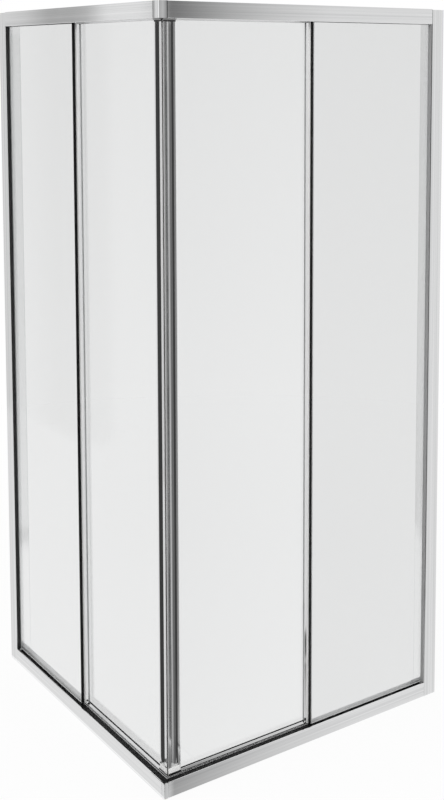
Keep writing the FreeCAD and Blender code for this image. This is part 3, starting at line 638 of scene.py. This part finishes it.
# rubber beads in the corner between each side frame's lip and the fixed pane, black on the left and painted
# grey on the front as lit
bead = {
    "width": 0.0014,     # along the side
    "depth": 0.0088,     # from the pane towards the room
    "gap": 0.0001,       # to the pane
    "endGap": 0.0003,    # to the rails
    "round": 0.0006,
    "roundSteps": 4,
    "flat": 0.99,        # tells the flat face from the rounded edge beside it
    "lip": 0.0016,       # margin of the shallow flute
    "flute": 0.0004,
    "smoothAngle": 30,
}


def modelBead(side):
    along, across = (0, 1) if side == "front" else (1, 0)
    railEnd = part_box(side + "_bottom_rail")[1][along]
    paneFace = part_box(side + "_fixed_glass")[0][across]
    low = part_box(side + "_bottom_rail")[1].z + bead["endGap"]
    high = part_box(side + "_top_rail")[0].z - bead["endGap"]
    size, place = [0, 0, high - low], [0, 0, (low + high) / 2]
    size[along], size[across] = bead["width"], bead["depth"]
    place[along] = railEnd - bead["width"] / 2
    place[across] = paneFace - bead["gap"] - bead["depth"] / 2
    bpy.ops.object.select_all(action="DESELECT")
    bpy.ops.mesh.primitive_cube_add(size=1, location=place)
    strip = bpy.context.object
    strip.name = side + "GlazingBead"
    strip.scale = size
    bpy.ops.object.transform_apply(location=True, scale=True)
    pickFaces(strip, across, -1)
    bpy.ops.mesh.bevel(offset=bead["round"], segments=bead["roundSteps"], affect="EDGES")
    bpy.ops.object.mode_set(mode="OBJECT")
    pickFaces(strip, along, -1, bead["flat"])
    bpy.ops.mesh.inset(thickness=bead["lip"])
    inward = [0, 0, 0]
    inward[along] = bead["flute"]
    bpy.ops.transform.translate(value=inward)
    bpy.ops.object.mode_set(mode="OBJECT")
    bpy.ops.object.shade_smooth_by_angle(angle=math.radians(bead["smoothAngle"]))
    # the bead's finish holds painted light: grey on the front as lit, black on the left
    strip.data.materials.append(finishes[side + "BeadPaintedLightRubber"])
    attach(strip, "frame")


for side in ("front", "left"):
    modelBead(side)
print("glazing beads modelled")


# floor and studio
studio = {
    "floorSize": 60.0,
    "floorCells": 4,
    "floorDrop": 0.0005,
    "floorColour": (0.92, 0.92, 0.92),
    "floorRough": 0.9,
    "floorOwnLight": 0.92,    # share of plain white that the lens, metal and glass see under the object
    "floorFade": (1.0, 3.0),    # distance over which that share grows to the whole
    "softLight": 0.75,    # what the white walls of the studio give matt surfaces
    "keySize": 3.0,
    "keyPlace": (-2.6, -3.2, 3.6),
    "keyPower": 90.0,
}
seenRays = ("Is Camera Ray", "Is Glossy Ray", "Is Transmission Ray")    # the lens, metal and glass
sheetMake = {
    "bendSteps": 6,
    "edgeReach": 1e-4,    # how near an edge lies to the place where it is looked for
}

# grey papers that stand beside the object and are seen only in its metal and glass
# shades go along the paper, from a place in metres to a brightness, and slant sideways with the distance
# pale is where a paper changes to one brightness near the object's foot: from, to, share and brightness
frontPaper = {
    "name": "frontPaper",
    "along": "X",
    "low": (-0.75, -1.0),
    "high": (1.3, -0.442),
    "height": 3.0,
    "bend": 0.08,
    "lift": 0.0005,
    "slant": 0.6026,
    "shades": [(-1.08, 0.79), (-0.67, 0.75), (-0.60, 0.10), (-0.475, 0.12), (-0.455, 0.42),
               (-0.436, 0.46), (-0.430, 0.52), (-0.4245, 0.64), (-0.4215, 0.58), (-0.419, 0.22),
               (-0.4165, 0.08), (-0.413, 0.17), (-0.33, 0.285), (-0.20, 0.46), (-0.06, 0.60),
               (0.17, 0.735), (0.57, 0.75), (1.3, 0.79)],
    "pale": (-0.9, -0.442, 0.33, 0.8),
}
leftPaper = {
    "name": "leftPaper",
    "along": "Y",
    "low": (-1.6, -0.5),
    "high": (-0.445, 3.6),
    "height": 3.0,
    "bend": 0.08,
    "lift": 0.0005,
    "slant": 0.0,
    "shades": [(-0.5, 0.77), (1.46, 0.78), (1.50, 0.45), (1.519, 0.45), (1.524, 1.0), (1.531, 1.0),
               (1.537, 0.70), (1.545, 0.45), (1.562, 0.45), (1.575, 0.78), (1.9, 0.79), (2.0, 0.76),
               (2.1, 0.50), (2.3, 0.415), (2.53, 0.40), (2.66, 0.50), (2.8, 0.62), (3.0, 0.67), (3.6, 0.79)],
    "pale": (-1.58, -1.50, 1.0, 0.77),
}
# dark cards close to the closing stiles, lower than the top rails
leftCard = {
    "name": "leftCard",
    "along": "Y",
    "low": (-0.475, -0.75),
    "high": (-0.46, -0.325),
    "height": 1.835,
    "bend": 0.004,
    "lift": 0.025,
    "slant": 0.0,
    "shades": [(-0.75, 0.40), (-0.62, 0.30), (-0.55, 0.14), (-0.50, 0.055), (-0.36, 0.04), (-0.34, 0.06),
               (-0.325, 0.15)],
}
frontCard = {
    "name": "frontCard",
    "along": "X",
    "low": (-0.75, -0.62),
    "high": (-0.284, -0.50),
    "height": 1.86,
    "bend": 0.01,
    "lift": 0.0015,
    "slant": 0.0,
    "shades": [(-0.75, 0.10), (-0.47, 0.10), (-0.40, 0.14), (-0.34, 0.20), (-0.31, 0.28), (-0.296, 0.62),
               (-0.2925, 0.50), (-0.2900, 0.05), (-0.284, 0.02)],
}


def makeFloor():
    bpy.ops.mesh.primitive_grid_add(x_subdivisions=studio["floorCells"], y_subdivisions=studio["floorCells"],
                                    size=studio["floorSize"],
                                    location=(0, 0, cadBox[0].z - studio["floorDrop"]))
    floor = bpy.context.object
    floor.name = "studioFloor"
    bpy.ops.object.transform_apply(location=True)
    material, tree, shader = newMaterial("paleFloor")
    link = tree.links.new
    shader.inputs["Base Color"].default_value = (*studio["floorColour"], 1)
    shader.inputs["Roughness"].default_value = studio["floorRough"]
    shader.inputs["Specular IOR Level"].default_value = 0
    place = addNode(tree, "ShaderNodeTexCoord", (-400, 700))
    distance = addNode(tree, "ShaderNodeVectorMath", (-200, 700), operation="LENGTH")
    whiteShare = (studio["floorOwnLight"], 1)
    fade = mapValue(tree, distance.outputs["Value"], (0, 700), whiteShare, studio["floorFade"])
    share = addNode(tree, "ShaderNodeMath", (200, 400), operation="MULTIPLY")
    white = addNode(tree, "ShaderNodeEmission", (200, 200))
    mix = addNode(tree, "ShaderNodeMixShader", (400, 200))
    link(place.outputs["Object"], distance.inputs[0])
    link(anyRay(tree, (-400, 400), seenRays), share.inputs[0])
    link(fade, share.inputs[1])
    link(share.outputs["Value"], mix.inputs[0])
    link(shader.outputs["BSDF"], mix.inputs[1])
    link(white.outputs["Emission"], mix.inputs[2])
    link(mix.outputs["Shader"], tree.nodes["Material Output"].inputs["Surface"])
    floor.data.materials.append(material)


def makePaper(paper):
    (lowX, lowY), (highX, highY) = paper["low"], paper["high"]
    ground = cadBox[0].z + paper["lift"]
    bpy.ops.object.select_all(action="DESELECT")
    bpy.ops.mesh.primitive_plane_add(size=1, location=((lowX + highX) / 2, (lowY + highY) / 2, ground))
    sheet = bpy.context.object
    sheet.name = paper["name"]
    sheet.scale = (highX - lowX, highY - lowY, 1)
    bpy.ops.object.transform_apply(location=True, scale=True)
    across = 1 if paper["along"] == "X" else 0
    pickFarEdge(sheet, across, paper["low"][across])
    bpy.ops.mesh.extrude_region_move(TRANSFORM_OT_translate={"value": (0, 0, paper["height"])})
    bpy.ops.object.mode_set(mode="OBJECT")
    pickFarEdge(sheet, across, paper["low"][across], ground)
    bpy.ops.mesh.bevel(offset=paper["bend"], segments=sheetMake["bendSteps"], affect="EDGES")
    bpy.ops.object.mode_set(mode="OBJECT")
    sheet.data.materials.append(makePaperShades(paper))
    sheet.visible_camera = False
    sheet.visible_diffuse = False
    sheet.visible_transmission = False
    sheet.visible_shadow = False


# edges along the far side of a sheet, or only those at one height
def pickFarEdge(sheet, across, place, level=None):
    reach = sheetMake["edgeReach"]
    bpy.ops.object.mode_set(mode="EDIT")
    bpy.ops.mesh.select_mode(type="EDGE")
    bpy.ops.mesh.select_all(action="DESELECT")
    bpy.ops.object.mode_set(mode="OBJECT")
    for edge in sheet.data.edges:
        ends = [sheet.data.vertices[index].co for index in edge.vertices]
        onLine = all(abs(end[across] - place) < reach for end in ends)
        edge.select = onLine and (level is None or all(abs(end.z - level) < reach for end in ends))
    bpy.ops.object.mode_set(mode="EDIT")


def makePaperShades(paper):
    material, tree, shader = newMaterial(paper["name"])
    tree.nodes.remove(shader)
    link = tree.links.new
    place = addNode(tree, "ShaderNodeTexCoord", (-1100, 0))
    along, across = (0, 1) if paper["along"] == "X" else (1, 0)
    direction = [0, 0, 0]
    direction[along], direction[across] = 1, paper["slant"]
    slanted = addNode(tree, "ShaderNodeVectorMath", (-900, 100), operation="DOT_PRODUCT")
    slanted.inputs[1].default_value = direction
    start = paper["slant"] * paper["high"][across]
    first, last = paper["shades"][0][0], paper["shades"][-1][0]
    share = mapValue(tree, slanted.outputs["Value"], (-500, 100), wholeRange, (first + start, last + start))
    ramp = addNode(tree, "ShaderNodeValToRGB", (-300, 100))
    stops = ramp.color_ramp.elements
    for spare in list(stops)[1:]:
        stops.remove(spare)
    for index, (metres, level) in enumerate(paper["shades"]):
        position = (metres - first) / (last - first)
        stop = stops[0] if index == 0 else stops.new(position)
        stop.position = position
        stop.color = (level, level, level, 1)
    link(place.outputs["Object"], slanted.inputs[0])
    link(share, ramp.inputs["Fac"])
    colour = ramp.outputs["Color"]
    if "pale" in paper:
        paleFrom, paleTo, paleShare, paleLevel = paper["pale"]
        split = addNode(tree, "ShaderNodeSeparateXYZ", (-900, -200))
        link(place.outputs["Object"], split.inputs["Vector"])
        pale = mapValue(tree, split.outputs[across], (-300, -200), (0, paleShare), (paleFrom, paleTo))
        colour = layOver(tree, pale, (0, 0), colour, (paleLevel, paleLevel, paleLevel, 1), "RGBA")
    glow = addNode(tree, "ShaderNodeEmission", (200, 0))
    link(colour, glow.inputs["Color"])
    link(glow.outputs["Emission"], tree.nodes["Material Output"].inputs["Surface"])
    return material


def makeWorld():
    world = bpy.data.worlds.new("whiteStudio")
    bpy.context.scene.world = world
    world.use_nodes = True
    tree = world.node_tree
    background = tree.nodes["Background"]
    background.inputs["Color"].default_value = (1, 1, 1, 1)
    seen = anyRay(tree, (-600, 200), seenRays)
    level = mapValue(tree, seen, (0, 100), (studio["softLight"], 1), wholeRange)
    tree.links.new(level, background.inputs["Strength"])


def makeKeyLight():
    bpy.ops.object.light_add(type="AREA", location=studio["keyPlace"])
    lamp = bpy.context.object
    lamp.name = "keySoftbox"
    lamp.data.size = studio["keySize"]
    lamp.data.energy = studio["keyPower"]
    middle = (cadBox[0] + cadBox[1]) / 2
    lamp.rotation_euler = (middle - lamp.location).to_track_quat("-Z", "Y").to_euler()
    lamp.visible_glossy = False


makeFloor()
for paper in (frontPaper, leftPaper, frontCard, leftCard):
    makePaper(paper)
makeWorld()
makeKeyLight()
bpy.context.scene.view_settings.view_transform = "Standard"
print("studio lit")
